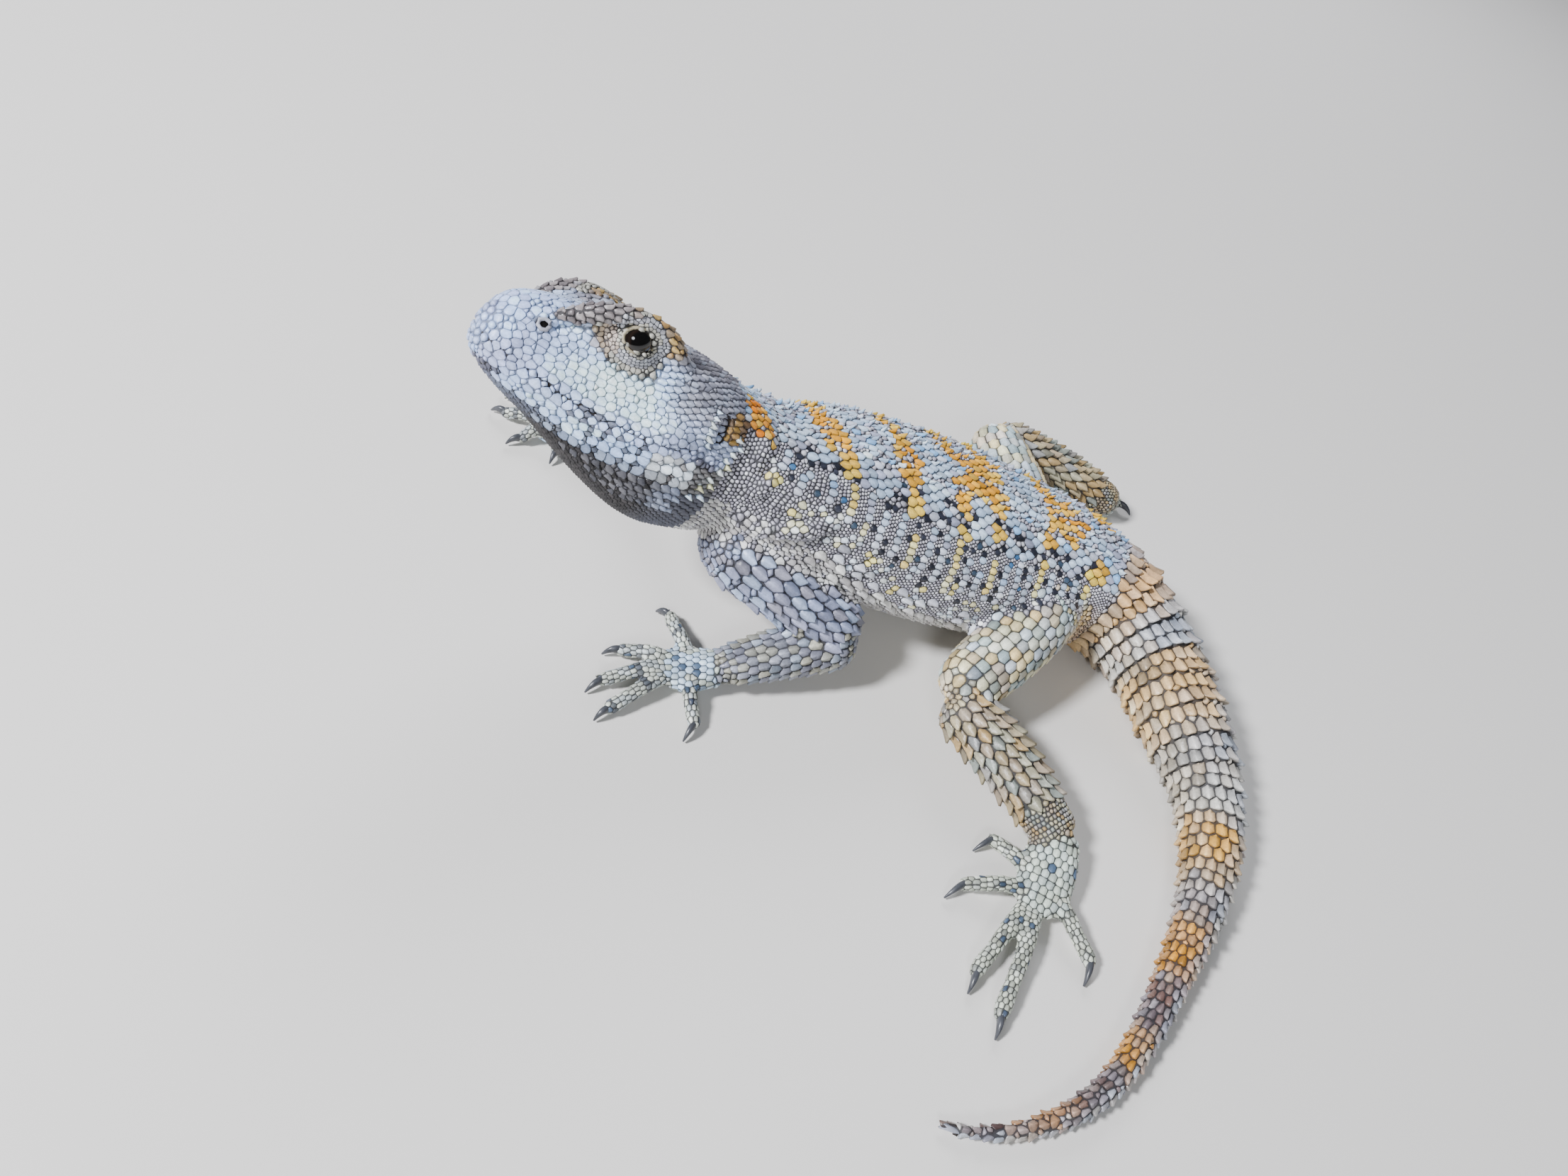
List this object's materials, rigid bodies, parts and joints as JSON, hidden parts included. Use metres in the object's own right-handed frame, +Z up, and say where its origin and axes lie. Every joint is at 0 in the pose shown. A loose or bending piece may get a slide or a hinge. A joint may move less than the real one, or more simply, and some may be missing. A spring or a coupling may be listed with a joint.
{
  "type": "clown agama model",
  "caption": "Still life-size clown agama with raised head, folded legs and a curved ringed tail, resting on its feet, belly and tail.",
  "frame": {"origin": "middle of the underside of the whole box, on the floor it rests on", "axes": "+Z up; the animal faces -X with its left side towards -Y"},
  "size_m": [0.1448, 0.156, 0.059],
  "materials": {
    "head_skin": "dry pale blue-grey scales",
    "body_skin": "dry keeled scales, blue-grey with orange bands",
    "tail_skin": "dry spiny rings, peach and grey",
    "limb_skin": "dry keeled scales, cream and grey",
    "eye": "wet gloss",
    "claw": "dark horn"
  },
  "bodies": {
    "root": {"head": "head_skin", "jaw": "head_skin", "eye_left": "eye", "eye_right": "eye", "neck": "body_skin", "torso": "body_skin", "tail_1": "tail_skin", "tail_2": "tail_skin", "tail_3": "tail_skin", "tail_4": "tail_skin", "tail_5": "tail_skin", "upper_arm_left": "limb_skin", "forearm_left": "limb_skin", "hand_left": "limb_skin", "finger_left_1": "limb_skin", "finger_left_2": "limb_skin", "finger_left_3": "limb_skin", "finger_left_4": "limb_skin", "finger_left_5": "limb_skin", "thigh_left": "limb_skin", "shank_left": "limb_skin", "foot_left": "limb_skin", "toe_left_1": "limb_skin", "toe_left_2": "limb_skin", "toe_left_3": "limb_skin", "toe_left_4": "limb_skin", "toe_left_5": "limb_skin", "upper_arm_right": "limb_skin", "forearm_right": "limb_skin", "hand_right": "limb_skin", "finger_right_1": "limb_skin", "finger_right_2": "limb_skin", "finger_right_3": "limb_skin", "finger_right_4": "limb_skin", "finger_right_5": "limb_skin", "thigh_right": "limb_skin", "shank_right": "limb_skin", "foot_right": "limb_skin", "toe_right_1": "limb_skin", "toe_right_2": "limb_skin", "toe_right_3": "limb_skin", "toe_right_4": "limb_skin", "toe_right_5": "limb_skin"}
  },
  "joints": []
}
